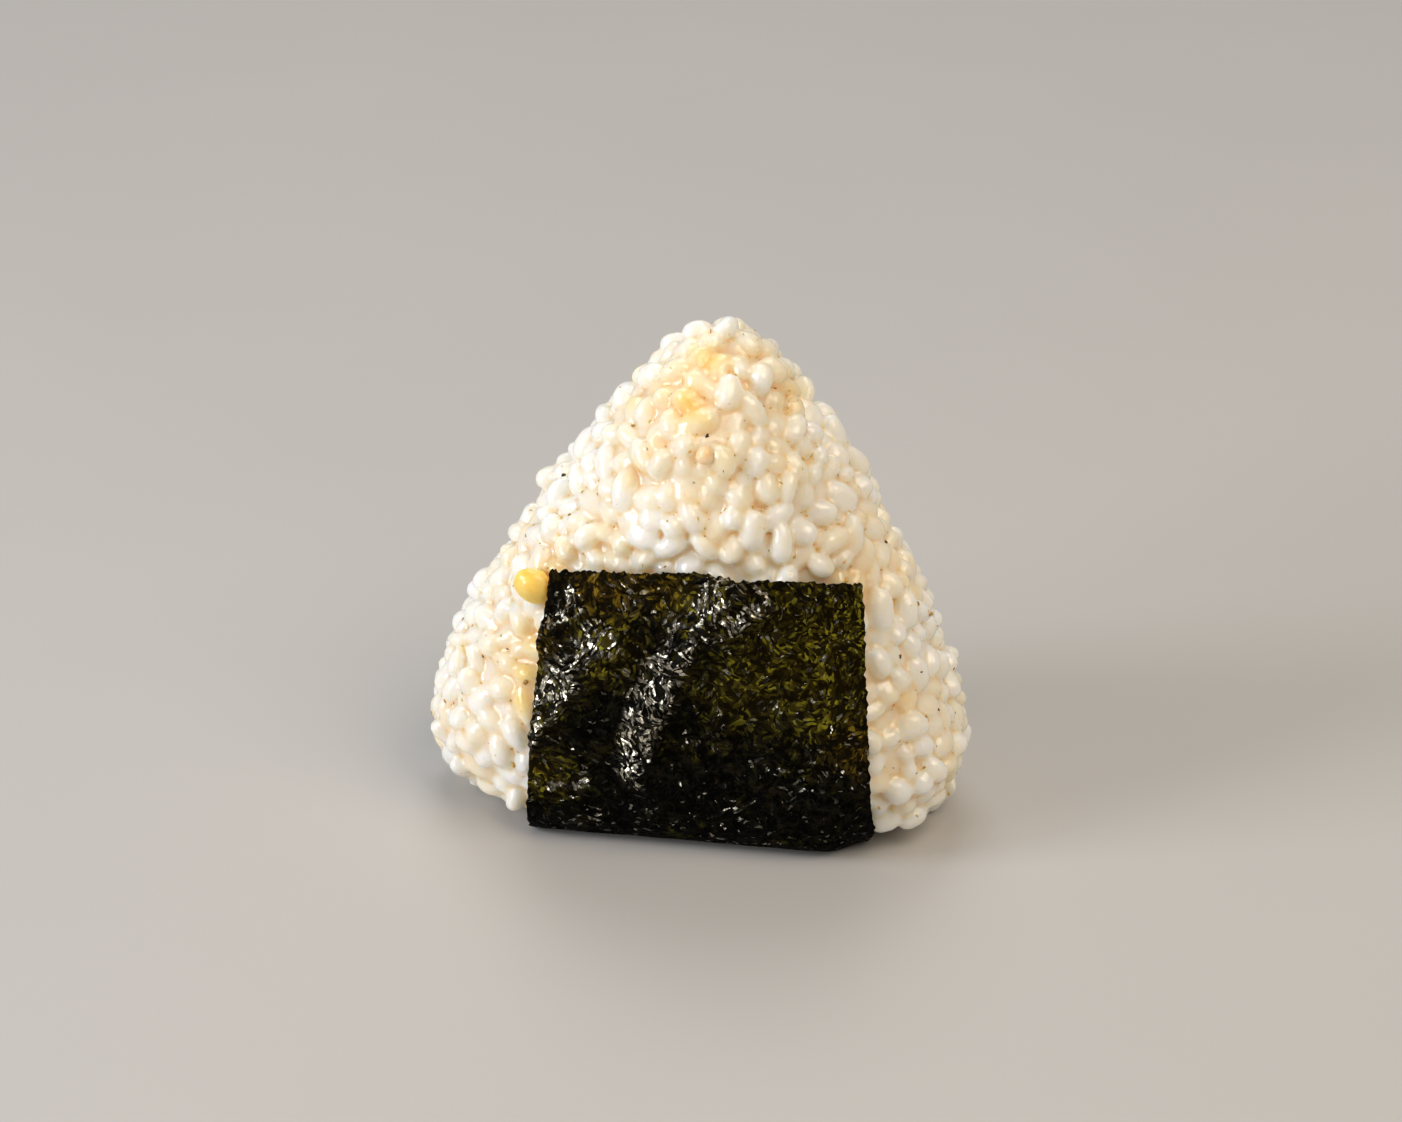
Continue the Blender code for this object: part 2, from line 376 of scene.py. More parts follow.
# Where the seasoning has stained the rice yellow: middle, reach and strength.
STAINS = (
    ((0.0030, -0.0065, 0.0725), 0.0026, 0.75),
    ((0.0010, -0.0125, 0.0685), 0.0034, 0.85),
    ((0.0033, -0.0140, 0.0668), 0.0022, 0.60),
    ((-0.0010, -0.0110, 0.0695), 0.0062, 0.42),
    ((0.0030, -0.0150, 0.0650), 0.0080, 0.30),
    ((0.0045, -0.0170, 0.0620), 0.0045, 0.45),
    ((-0.0065, -0.0152, 0.0584), 0.0020, 0.65),
    ((-0.0185, -0.0150, 0.0520), 0.0030, 0.35),
    ((-0.0110, -0.0170, 0.0500), 0.0040, 0.30),
    ((-0.0190, -0.0155, 0.0410), 0.0034, 0.75),
    ((-0.0214, -0.0170, 0.0316), 0.0034, 0.80),
    ((-0.0222, -0.0180, 0.0270), 0.0032, 0.85),
    ((-0.0225, -0.0190, 0.0229), 0.0030, 0.75),
    ((0.0160, -0.0130, 0.0600), 0.0050, 0.28),
    ((0.0240, -0.0140, 0.0430), 0.0050, 0.30),
    ((0.0310, -0.0140, 0.0240), 0.0040, 0.32),
    ((0.0060, -0.0185, 0.0505), 0.0030, 0.25),
    ((-0.0170, -0.0165, 0.0468), 0.0022, 0.55),
    ((-0.0255, -0.0165, 0.0290), 0.0055, 0.35),
)
RICE_CREAM, RICE_WHITE, RICE_MILK = (0.90, 0.72, 0.46), (0.90, 0.84, 0.71), (0.90, 0.90, 0.885)
# The gap and crease colours are painted shade, a darker tan for the valleys between the grains; the
# stain colour is the seasoning's own.
RICE_GAP_SHADE, RICE_CREASE_SHADE, RICE_STAIN = (0.90, 0.68, 0.30), (0.84, 0.68, 0.36), (0.93, 0.60, 0.13)
RANDOM_STAINS = 60
RANDOM_REACH, RANDOM_STRENGTH = (0.0015, 0.0045), (0.1, 0.4)


def finished(mesh, kind, **settings):
    """The mesh after a modifier of this kind, with these settings."""
    temporary = bpy.data.objects.new("temporary", mesh)
    bpy.context.scene.collection.objects.link(temporary)
    modifier = temporary.modifiers.new(kind, kind)
    for key, value in settings.items():
        setattr(modifier, key, value)
    evaluated = temporary.evaluated_get(bpy.context.evaluated_depsgraph_get())
    made = bpy.data.meshes.new_from_object(evaluated)
    bpy.data.objects.remove(temporary)
    return made


def mesh_array(collection, key):
    """The vectors of a mesh's points or normals, as an array."""
    values = np.empty(len(collection) * 3, dtype=np.float32)
    collection.foreach_get(key, values)
    return values.reshape(-1, 3).astype(float)


core_form = body_form.copy()
for vertex in core_form.verts:
    covered_share = min(1.0, max(0.0, (strip_cover(vertex.co) - CORE_INSIDE) / UNDER_STRIP))
    depth = CORE_DEPTH + (CORE_DEPTH_UNDER_STRIP - CORE_DEPTH) * covered_share
    vertex.co = vertex.co - vertex.normal * depth
filling = grains_from(grain_ball, grain_centres, grain_axes, grain_lengths, grain_widths)
core_form.from_mesh(joined_mesh("filling", filling, grain_faces))
mass_mesh = bpy.data.meshes.new("rice-mass")
core_form.to_mesh(mass_mesh)
core_form.free()
mass_mesh = finished(mass_mesh, "REMESH", mode="VOXEL", voxel_size=SKIN_VOXEL)
softened = finished(mass_mesh.copy(), "SMOOTH", factor=0.5, iterations=STARCH_REACH)
places = mesh_array(mass_mesh.vertices, "co")
normals = mesh_array(mass_mesh.vertex_normals, "vector")
soft_places = mesh_array(softened.vertices, "co")
rise = ((soft_places - places) * normals).sum(axis=1)
creased = finished(mass_mesh.copy(), "SMOOTH", factor=0.5, iterations=CREASE_REACH)
crease = ((mesh_array(creased.vertices, "co") - places) * normals).sum(axis=1)

bead_owner = np.repeat(np.arange(len(grain_centres)), len(BEADS))
bead_arms = np.outer((grain_lengths - grain_widths) / 2, BEADS).reshape(-1)
bead_places = grain_centres[bead_owner] + grain_axes[bead_owner] * bead_arms[:, None]
tree = KDTree(len(bead_places))
for index, place in enumerate(bead_places):
    tree.insert(place, index)
tree.balance()
mass_milk = np.empty(len(places))
facing = np.empty(len(places))
for index, place in enumerate(places):
    near = tree.find_n(place, NEAR_BEADS)
    owners = bead_owner[[found[1] for found in near]]
    gaps = np.array([found[2] for found in near]) - grain_widths[owners] / 2 + NEAR_MARGIN
    weights = np.clip(gaps, 0.000001, None) ** NEAR_POWER
    mass_milk[index] = (weights * milk[owners]).sum() / weights.sum()
    facing[index] = abs(body.find_nearest(place)[1].y)
clear_share = 1 - np.clip((mass_milk - MILKY_START) * MILKY_SLOPE, 0, 1)
fused = FUSING_PROUD + (FUSING - FUSING_PROUD) * clear_share
top_share = np.clip((places[:, 2] - TOP_START) / (TOP_FULL - TOP_START), 0, 1) * (places[:, 1] < 0)
below_top = np.clip(FLANK_TOP - places[:, 2], 0, None)
flank = np.clip((-places[:, 0] - FLANK_START - FLANK_SLOPE * below_top) / FLANK_FADE, 0, 1)
flank *= places[:, 1] < FLANK_BACK
fused = np.minimum(fused + RUBBED_FUSING * np.maximum(top_share, flank), FUSING_MOST)
facing = np.clip((facing - FACE_START) / (FACE_FULL - FACE_START), 0, 1)
high = np.clip((places[:, 2] - LOW_END) / (LOW_START - LOW_END), 0, 1)
facing *= FUSING_LOW + (1 - FUSING_LOW) * np.maximum(high, flank)
fused *= FUSING_SIDES + (1 - FUSING_SIDES) * facing
fill = np.clip(rise, 0, None) * STARCH_FILL + np.clip(rise, None, 0) * GRAIN_WEAR
places = (places + normals * fill[:, None]) * (1 - fused[:, None]) + soft_places * fused[:, None]
places[:, 2] = np.maximum(places[:, 2], SKIN_LIFT)
mass_mesh.vertices.foreach_set("co", places.astype(np.float32).reshape(-1))
hollow = np.clip((rise - HOLLOW_START) / (HOLLOW_FULL - HOLLOW_START), 0, 1)
add_attribute(mass_mesh, "hollow", hollow)
add_attribute(mass_mesh, "crease", np.clip(crease / CREASE_FULL, 0, 1))
# The milk attribute holds the grains' own milkiness plus a painted highlight that whitens the lit
# left flank.
add_attribute(mass_mesh, "milk", np.minimum(mass_milk + FLANK_PAINTED_LIGHT * flank, 1.0))
stain = np.zeros(len(places))
stain_draw = np.random.default_rng(21)
stains = list(STAINS)
for pick in stain_draw.integers(0, len(surface), RANDOM_STAINS):
    if surface[pick][1] > -0.008:
        reach = stain_draw.uniform(*RANDOM_REACH)
        stains.append((tuple(surface[pick]), reach, stain_draw.uniform(*RANDOM_STRENGTH)))
for middle, reach, strength in stains:
    away_from = np.linalg.norm(places - np.array(middle), axis=1)
    stain = np.maximum(stain, strength * np.exp(-((away_from / reach) ** 2)))
add_attribute(mass_mesh, "stain", stain)
kept = min(1.0, SKIN_TRIANGLES / (2 * len(mass_mesh.polygons)))
mass_mesh = finished(mass_mesh, "DECIMATE", ratio=kept)
mass_mesh.shade_smooth()


def set_inputs(node, values):
    for key, value in values.items():
        node.inputs[key].default_value = value


def new_material(name, values):
    """A new material, its node tree and its Principled shader with values on its own sockets."""
    made = bpy.data.materials.new(name)
    made.use_nodes = True
    shader = made.node_tree.nodes["Principled BSDF"]
    set_inputs(shader, values)
    return made, made.node_tree, shader


def add_node(tree, kind, values=None, **settings):
    """A node with its settings, and with values on its inputs."""
    node = tree.nodes.new(kind)
    for key, value in settings.items():
        setattr(node, key, value)
    set_inputs(node, values or {})
    return node


def object_place(tree):
    """The place on the piece, in metres."""
    return add_node(tree, "ShaderNodeTexCoord").outputs["Object"]


def attribute(tree, name):
    """A value that the mesh holds for each point."""
    return add_node(tree, "ShaderNodeAttribute", attribute_name=name).outputs["Fac"]


def noise_at(tree, place, scale, detail, distortion=0.0, output="Fac"):
    """Soft noise from 0 to 1, or a colour of noise."""
    values = {"Scale": scale, "Detail": detail, "Distortion": distortion}
    node = add_node(tree, "ShaderNodeTexNoise", values)
    tree.links.new(place, node.inputs["Vector"])
    return node.outputs[output]


def math_node(tree, operation, *values):
    """A sum on sockets and numbers."""
    node = add_node(tree, "ShaderNodeMath", operation=operation)
    for socket, value in zip(node.inputs, values):
        if isinstance(value, (int, float)):
            socket.default_value = value
        else:
            tree.links.new(value, socket)
    return node.outputs["Value"]


def times(tree, first, second):
    return math_node(tree, "MULTIPLY", first, second)


def between(tree, value, low, high):
    """0 at low and 1 at high, eased."""
    values = {"From Min": low, "From Max": high}
    node = add_node(tree, "ShaderNodeMapRange", values, interpolation_type="SMOOTHSTEP")
    tree.links.new(value, node.inputs["Value"])
    return node.outputs["Result"]


def set_roughness(tree, shader, value, low, high):
    """Roughness that runs from low to high as the value runs from 0 to 1."""
    node = add_node(tree, "ShaderNodeMapRange", {"To Min": low, "To Max": high})
    tree.links.new(value, node.inputs["Value"])
    tree.links.new(node.outputs["Result"], shader.inputs["Roughness"])


def set_bump(tree, shader, height, distance):
    """Fine relief that isn't in the mesh: distance is what a height of 1 stands for."""
    node = add_node(tree, "ShaderNodeBump", {"Strength": 1.0, "Distance": distance})
    tree.links.new(height, node.inputs["Height"])
    tree.links.new(node.outputs["Normal"], shader.inputs["Normal"])


def mix_colour(tree, factor, first, second):
    """From the first colour to the second as the factor runs from 0 to 1."""
    mix = add_node(tree, "ShaderNodeMix", data_type="RGBA")
    colour_inputs = [socket for socket in mix.inputs if socket.type == "RGBA"]
    for socket, value in zip(colour_inputs, (first, second)):
        if isinstance(value, tuple):
            socket.default_value = (*value, 1.0)
        else:
            tree.links.new(value, socket)
    tree.links.new(factor, mix.inputs["Factor"])
    return [socket for socket in mix.outputs if socket.type == "RGBA"][0]


def rice_material():
    """See-through cream and milky grains, painted yellow shade between them, a painted whiter left
    flank, seasoning stains.
    """
    values = {
        "Subsurface Weight": 1.0,
        "Subsurface Radius": (1.0, 0.82, 0.55),
        "Subsurface Scale": 0.0042,
        "Specular IOR Level": 0.70,
        "Coat Weight": 0.05,
        "Coat Roughness": 0.06,
    }
    made, tree, shader = new_material("cooked rice", values)
    place = object_place(tree)
    patches = between(tree, noise_at(tree, place, 110.0, 2.0), 0.36, 0.62)
    colour = mix_colour(tree, patches, RICE_CREAM, RICE_WHITE)
    # Milky grains are whiter, and the painted highlight on the left flank whitens it too.
    milk_and_lit_flank = times(tree, attribute(tree, "milk"), 0.7)
    colour = mix_colour(tree, milk_and_lit_flank, colour, RICE_MILK)
    # Painted shade: the valleys between the grains take a darker, warmer tan, by how deep they lie.
    gaps = times(tree, attribute(tree, "hollow"), 0.66)
    colour = mix_colour(tree, gaps, colour, RICE_GAP_SHADE)
    # Painted shade: thin darker tan lines in the narrow creases between the grains.
    crease_shade = times(tree, attribute(tree, "crease"), 0.20)
    colour = mix_colour(tree, crease_shade, colour, RICE_CREASE_SHADE)
    colour = mix_colour(tree, attribute(tree, "stain"), colour, RICE_STAIN)
    tree.links.new(colour, shader.inputs["Base Color"])
    set_roughness(tree, shader, noise_at(tree, place, 500.0, 3.0), 0.05, 0.36)
    set_bump(tree, shader, noise_at(tree, place, 1300.0, 4.0), 0.00010)
    return made


mass = add_piece("rice-mass", mass_mesh, rice_material())
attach(mass, "root")
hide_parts("rice")

# The nori: one sheet of dried laver, thin and brittle, that wraps the front, the base and the back.
# It is laid round the body and pressed on, so it shows the grains under it and a few slanting folds.

STRIP_COLUMNS, STRIP_ROWS = 144, 320
TURN_HEIGHT = 0.0170
TURN_SHARE = 0.48
STRIP_GAP = 0.0007
STRIP_THICKNESS = 0.00018
RAGGED = 0.00042
# Where the noise is read for the way each crumpled facet tilts along X, Y and Z.
TILT_PITCH = 7.3
TILT_SHIFTS = (Vector((9.3, -1.5, -8.0)), Vector((0.0, 0.0, 0.0)), Vector((6.3, 0.2, -2.7)))
SWELLS = ((0.00040, 0.0060), (0.00025, 0.0030))
CRUMPLES = ((0.00028, 0.0028), (0.00012, 0.0012))
CRUMPLE_PLAIN, CRUMPLE_FOLDED = 0.35, 0.90
LIFT_UNDER = 0.20
BACK_GLOSS = 0.6
# How the folds die out at their ends and behind them, how they waver, and how wide they shine.
FOLD_ENDS, FOLD_FALL = 0.12, 0.0070
WAVER, WAVER_SIZE = 0.0014, 0.0040
GLOSS_NARROWS = 1.3
# Each fold: where it starts and ends on the panel (x, z), how far it bows, its width and its rise.
FRONT_FOLDS = (
    ((0.0085, 0.0465), (-0.0062, 0.0120), -0.0030, 0.0050, 0.0022),
    ((0.0130, 0.0440), (0.0050, 0.0370), 0.0, 0.0030, 0.0010),
    ((-0.0085, 0.0375), (-0.0215, 0.0180), -0.0008, 0.0044, 0.0020),
    ((-0.0125, 0.0400), (-0.0210, 0.0330), 0.0, 0.0034, 0.0011),
    ((-0.0120, 0.0120), (-0.0225, 0.0080), 0.0, 0.0014, 0.0004),
)
BACK_FOLDS = (
    ((-0.0120, 0.0440), (0.0100, 0.0180), 0.0020, 0.0046, 0.0011),
    ((0.0080, 0.0430), (0.0230, 0.0250), -0.0010, 0.0036, 0.0009),
)
# Where the sheet is thin and lets its green or its brown through: middle (x, z) and reach.
FRONT_GREEN = (
    ((0.0200, 0.0350), 0.0110),
    ((0.0225, 0.0280), 0.0066),
    ((0.0110, 0.0300), 0.0060),
    ((-0.0200, 0.0260), 0.0045),
    ((-0.0190, 0.0120), 0.0045),
    ((-0.0100, 0.0340), 0.0045),
    ((0.0020, 0.0430), 0.0050),
)
BACK_GREEN = (((-0.0100, 0.0320), 0.0090), ((0.0180, 0.0160), 0.0070), ((0.0150, 0.0340), 0.0050))
FRONT_BROWN = (
    ((-0.0030, 0.0450), 0.0045),
    ((-0.0100, 0.0430), 0.0045),
    ((-0.0205, 0.0320), 0.0036),
    ((-0.0215, 0.0150), 0.0030),
    ((0.0255, 0.0200), 0.0030),
)
BACK_BROWN = (((0.0120, 0.0370), 0.0050), ((-0.0180, 0.0250), 0.0040))
# The shares of the half width and half length over which the edges fray.
SIDE_FRAY, END_FRAY = 0.03, 0.01
PANEL_START, PANEL_FADE = 0.0060, 0.0060
# The grey is a painted sheen, laid in patches on the black laver.
NORI_BLACK, NORI_SHEEN_GREY = (0.0003, 0.0002, 0.0001), (0.0110, 0.0085, 0.0050)
NORI_VEIN, NORI_THIN = (0.018, 0.016, 0.008), (0.009, 0.0058, 0.0004)
GREEN_FLAKE, GREEN_STROKE = (0.052, 0.040, 0.005), (0.25, 0.225, 0.016)
BROWN_FLAKE, BROWN_STROKE = (0.056, 0.032, 0.003), (0.22, 0.135, 0.013)
SHINE_DIM, SHINE_BRIGHT = (0.012, 0.0108, 0.008), (0.92, 0.85, 0.68)
# The turn over which the shreds' directions spread, and the way the folds' foil and the lone
# glints lean, so that they catch a low light from the left.
SHRED_TURN = 6.283
FOIL_LEAN, GLINT_LEAN = (0.08, 0.0, -0.31), (0.72, 0.0, -0.75)


def strip_ray(x, along, top):
    """The ray that finds the strip's place on the rice: level on the panels, a fan at the turn."""
    side = 1 if along > 0 else -1
    beyond = (abs(along) - TURN_SHARE) / (1 - TURN_SHARE)
    if beyond > 0:
        height = TURN_HEIGHT + (top - TURN_HEIGHT) * beyond
        return Vector((x, 0.0, height)), Vector((0.0, side, 0.0))
    angle = pi / 2 * along / TURN_SHARE
    return Vector((x, 0.0, TURN_HEIGHT)), Vector((0.0, sin(angle), -cos(angle)))


def ease(value):
    """The value held between 0 and 1, with a soft start and end."""
    value = min(1.0, max(0.0, value))
    return value * value * (3 - 2 * value)


def folded(x, z, folds):
    """How far the folds lift the sheet at a place, and how much of it is on their steep sides."""
    rise = gloss = 0.0
    for start, end, bow, width, height in folds:
        run = Vector(end) - Vector(start)
        aside = Vector((-run.y, run.x)).normalized()
        here = Vector((x, z)) - Vector(start)
        share = here.dot(run) / run.length_squared
        ends = ease(share / FOLD_ENDS + 0.5) * ease((1 - share) / FOLD_ENDS + 0.5)
        off = here.dot(aside) - bow * 4 * share * (1 - share)
        off += WAVER * noise.noise(Vector((x, 3.0, z)) / WAVER_SIZE)
        up = ease(off / width + 0.5)
        down = exp(-max(0.0, off - width / 2) / FOLD_FALL)
        rise += height * up * down * ends
        gloss = max(gloss, ends * exp(-((off / width * GLOSS_NARROWS) ** 2)))
    return rise, gloss


def blotches(x, z, spots):
    """How much of a tint a place takes from round blotches with soft edges."""
    return max(exp(-((x - at[0]) ** 2 + (z - at[1]) ** 2) / reach**2) for at, reach in spots)


def frayed(run, other, coarse, fine, rows):
    """How far an edge is torn out or in at a place along its run, about -1 to 1."""
    wide = noise.noise(Vector((run * coarse, rows[0], other)))
    return wide + 0.8 * noise.noise(Vector((run * fine, rows[1], other)))


def cracked(place, size):
    """A crumpled height from -1 to 1: flat facets that meet in sharp ridges."""
    distances, points = noise.voronoi(place / size)
    tilt = Vector([noise.noise(points[0] * TILT_PITCH + shift) for shift in TILT_SHIFTS])
    return (place / size - points[0]).dot(tilt) * 1.6 + (distances[1] - distances[0]) * 0.5


strip = bmesh.new()
bmesh.ops.create_grid(strip, x_segments=STRIP_COLUMNS, y_segments=STRIP_ROWS, size=1.0)
gloss_layer = strip.verts.layers.float.new("gloss")
green_layer = strip.verts.layers.float.new("green")
brown_layer = strip.verts.layers.float.new("brown")
for vertex in strip.verts:
    across, along = vertex.co.x, vertex.co.y
    left, right = strip_edges(abs(along))
    top = strip_high.z - (STRIP_BACK_LOWER if along > 0 else 0.0)
    at_sides = max(0.0, abs(across) - (1 - SIDE_FRAY)) / SIDE_FRAY * (1 if across > 0 else -1)
    at_ends = max(0.0, abs(along) - (1 - END_FRAY)) / END_FRAY
    x = left + (right - left) * (across + 1) / 2
    x += RAGGED * frayed(along, across, 58, 160, (5.0, 9.0)) * at_sides
    top += RAGGED * frayed(across, along, 22, 60, (2.0, 7.0)) * at_ends
    top -= STRIP_CORNER_DROP * across**2
    origin, way = strip_ray(x, along, top)
    vertex.co = body.ray_cast(origin, way)[0]
    vertex[gloss_layer] = along
bmesh.ops.recalc_face_normals(strip, faces=strip.faces)
strip.normal_update()
lifts = []
for vertex in strip.verts:
    x, y, z = vertex.co
    front = vertex[gloss_layer] < 0
    rise, gloss = folded(x, z, FRONT_FOLDS if front else BACK_FOLDS)
    on_panel = ease((z - PANEL_START) / PANEL_FADE)
    place = Vector((x, y, z))
    rise += sum(height * noise.noise(place / size) for height, size in SWELLS)
    crumple = sum(height * cracked(place, size) for height, size in CRUMPLES)
    rise += crumple * (CRUMPLE_PLAIN + CRUMPLE_FOLDED * gloss)
    lifts.append(STRIP_GAP + rise * (LIFT_UNDER + (1 - LIFT_UNDER) * on_panel))
    vertex[gloss_layer] = gloss * on_panel * (1.0 if front else BACK_GLOSS)
    vertex[green_layer] = blotches(x, z, FRONT_GREEN if front else BACK_GREEN) * on_panel
    vertex[brown_layer] = blotches(x, z, FRONT_BROWN if front else BACK_BROWN) * on_panel
for vertex, lift in zip(strip.verts, lifts):
    vertex.co -= vertex.normal * lift
bmesh.ops.solidify(strip, geom=strip.faces[:], thickness=STRIP_THICKNESS)
for vertex in strip.verts:
    vertex.co.z = max(0.0, vertex.co.z)
strip_mesh = bpy.data.meshes.new("nori")
strip.to_mesh(strip_mesh)
strip.free()
strip_mesh.shade_smooth()


def vector_node(tree, operation, *values):
    """A sum on vectors, which are sockets or tuples."""
    node = add_node(tree, "ShaderNodeVectorMath", operation=operation)
    for socket, value in zip(node.inputs, values):
        if isinstance(value, tuple):
            socket.default_value = value
        else:
            tree.links.new(value, socket)
    return node.outputs["Value" if operation == "DOT_PRODUCT" else "Vector"]


def ridges(tree, value, width):
    """Thin lines, where the value passes through its middle."""
    off = math_node(tree, "ABSOLUTE", math_node(tree, "SUBTRACT", value, 0.5))
    return between(tree, off, width, 0.0)


def facets(tree, place, scale):
    """Flat cells that each lean their own way: the lean, the way from a cell's middle, its tints."""
    cells = add_node(tree, "ShaderNodeTexVoronoi", {"Scale": scale})
    tree.links.new(place, cells.inputs["Vector"])
    parts = add_node(tree, "ShaderNodeSeparateColor")
    tree.links.new(cells.outputs["Color"], parts.inputs["Color"])
    lean = vector_node(tree, "SUBTRACT", cells.outputs["Color"], (0.5, 0.5, 0.5))
    offset = vector_node(tree, "SUBTRACT", place, cells.outputs["Position"])
    return lean, offset, parts.outputs


def nori_material():
    """Matt near-black with patches of painted grey sheen, green and brown where it is thin, with torn
    bright foil on its folds.
    """
    made, tree, shader = new_material("nori", {"Specular IOR Level": 0.02})
    place = object_place(tree)
    gloss, green, brown = (attribute(tree, name) for name in ("gloss", "green", "brown"))

    # Creased facets of two sizes, which lie calmer and lean to the light along the folds.
    wander = noise_at(tree, place, 380.0, 2.0, output="Color")
    wander = vector_node(tree, "SUBTRACT", wander, (0.5, 0.5, 0.5))
    wander = vector_node(tree, "MULTIPLY", wander, (0.0018, 0.0018, 0.0018))
    warped = vector_node(tree, "ADD", place, wander)
    wide_lean, wide_offset, wide_tints = facets(tree, warped, 400.0)
    small_lean, small_offset, small_tints = facets(tree, warped, 950.0)
    calm = math_node(tree, "MULTIPLY_ADD", gloss, -0.40, 1.0)
    foil_lean = vector_node(tree, "MULTIPLY", gloss, FOIL_LEAN)
    chosen = between(tree, small_tints["Blue"], 0.55, 0.60)
    chosen = times(tree, chosen, math_node(tree, "SUBTRACT", 1.0, gloss))
    glint_lean = vector_node(tree, "MULTIPLY", chosen, GLINT_LEAN)
    wide_lean = vector_node(tree, "MULTIPLY_ADD", wide_lean, calm, foil_lean)
    wide_facets = vector_node(tree, "DOT_PRODUCT", wide_lean, wide_offset)
    small_lean = vector_node(tree, "MULTIPLY_ADD", small_lean, calm, foil_lean)
    small_lean = vector_node(tree, "ADD", small_lean, glint_lean)
    small_facets = vector_node(tree, "DOT_PRODUCT", small_lean, small_offset)

    # Thin shreds of laver, which run a different way in each wide facet.
    turned = add_node(tree, "ShaderNodeVectorRotate", rotation_type="Y_AXIS")
    tree.links.new(warped, turned.inputs["Vector"])
    tree.links.new(times(tree, wide_tints["Red"], SHRED_TURN), turned.inputs["Angle"])
    stretched = vector_node(tree, "MULTIPLY", turned.outputs["Vector"], (1.0, 1.0, 0.30))
    shred_lean, shred_offset, shred = facets(tree, stretched, 2350.0)
    shred_facets = vector_node(tree, "DOT_PRODUCT", shred_lean, shred_offset)

    # The matt colour: black, with grey patches that are a painted sheen, with veins, and flakes and
    # strokes of green and brown.
    patchy = noise_at(tree, place, 520.0, 3.0, 1.0)
    painted_sheen = times(tree, shred["Green"], between(tree, patchy, 0.45, 0.68))
    colour = mix_colour(tree, painted_sheen, NORI_BLACK, NORI_SHEEN_GREY)
    veins = ridges(tree, noise_at(tree, place, 760.0, 1.0, 0.9), 0.045)
    colour = mix_colour(tree, times(tree, veins, 0.3), colour, NORI_VEIN)
    thin = math_node(tree, "MAXIMUM", green, times(tree, brown, 0.8))
    colour = mix_colour(tree, thin, colour, NORI_THIN)
    greener = between(tree, noise_at(tree, place, 170.0, 3.0), 0.52, 0.74)
    green = math_node(tree, "MULTIPLY_ADD", greener, 0.25, green)
    flakes = between(tree, shred["Green"], 0.30, 0.90)
    flakes = times(tree, flakes, between(tree, patchy, 0.36, 0.54))
    strokes = between(tree, shred["Blue"], 0.62, 0.92)
    strokes = times(tree, strokes, between(tree, patchy, 0.42, 0.58))
    for tint, forms, shade in (
        (green, flakes, GREEN_FLAKE),
        (green, strokes, GREEN_STROKE),
        (brown, flakes, BROWN_FLAKE),
        (brown, strokes, BROWN_STROKE),
    ):
        colour = mix_colour(tree, times(tree, tint, forms), colour, shade)

    # The shine: torn foil along the folds, and lone shreds that glint elsewhere.
    foil = math_node(tree, "MULTIPLY_ADD", shred["Blue"], 0.4, gloss)
    foil = between(tree, foil, 0.75, 1.0)
    foil = times(tree, foil, between(tree, shred["Red"], 0.40, 0.48))
    lone = times(tree, between(tree, shred["Blue"], 0.86, 0.89), chosen)
    glint = math_node(tree, "MAXIMUM", foil, lone)
    bright = math_node(tree, "MULTIPLY_ADD", foil, 0.6, 0.4)
    bright = times(tree, bright, between(tree, shred["Green"], 0.20, 1.0))
    crinkles = ridges(tree, noise_at(tree, place, 1150.0, 1.0, 1.6), 0.10)
    crinkles = math_node(tree, "MULTIPLY_ADD", crinkles, 0.72, 0.28)
    bright = times(tree, bright, crinkles)
    shine = mix_colour(tree, bright, SHINE_DIM, SHINE_BRIGHT)
    colour = mix_colour(tree, glint, colour, shine)
    tree.links.new(colour, shader.inputs["Base Color"])
    tree.links.new(glint, shader.inputs["Metallic"])
    set_roughness(tree, shader, math_node(tree, "MAXIMUM", gloss, glint), 0.60, 0.30)

    # The relief of all the facets.
    small_share = math_node(tree, "MULTIPLY_ADD", gloss, -0.35, 0.7)
    height = times(tree, wide_facets, 0.8)
    height = math_node(tree, "MULTIPLY_ADD", small_facets, small_share, height)
    height = math_node(tree, "MULTIPLY_ADD", shred_facets, 0.5, height)
    height = math_node(tree, "MULTIPLY_ADD", patchy, 0.00020, height)
    set_bump(tree, shader, height, 1.0)
    return made


nori = add_piece("nori-strip", strip_mesh, nori_material())
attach(nori, "root")
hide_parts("nori")

# The seasoning: flecks of ground herb and soy crust that stick between the grains, a few larger
# crumbs, and on the front a soft amber kernel and a brown bead. All of them lie on the grains.

FLECK_COUNT = 2000
FLECK_SHORTEST, FLECK_LONGEST = 0.00009, 0.00044
FLECK_FORM, CRUMB_FORM = 0.4, 0.6
# Crumbs: middle, length, width and tint, from 0, black, through brown to 1, orange.
CRUMBS = (
    ((-0.0186, -0.0040, 0.0511), 0.0009, 0.0006, 0.0),
    ((-0.0220, -0.0187, 0.0249), 0.0012, 0.0007, 0.3),
    ((0.0223, -0.0004, 0.0542), 0.0006, 0.0005, 0.1),
    ((0.0276, -0.0024, 0.0444), 0.0007, 0.0005, 0.1),
    ((0.0318, -0.0102, 0.0303), 0.0007, 0.0005, 0.1),
    ((0.0369, -0.0072, 0.0206), 0.0006, 0.0004, 0.1),
    ((0.0236, -0.0124, 0.0431), 0.0010, 0.0006, 0.9),
    ((0.0315, -0.0139, 0.0232), 0.0010, 0.0005, 1.0),
    ((0.0349, -0.0106, 0.0213), 0.0012, 0.0006, 0.9),
    ((0.0161, -0.0101, 0.0597), 0.0008, 0.0005, 0.8),
    ((-0.0235, -0.0180, 0.0120), 0.0010, 0.0006, 0.7),
)
DOT_AT, DOT_SIZES = (0.0038, 0.0647), (0.0006, 0.0005)
RANDOM_CRUMBS = 26
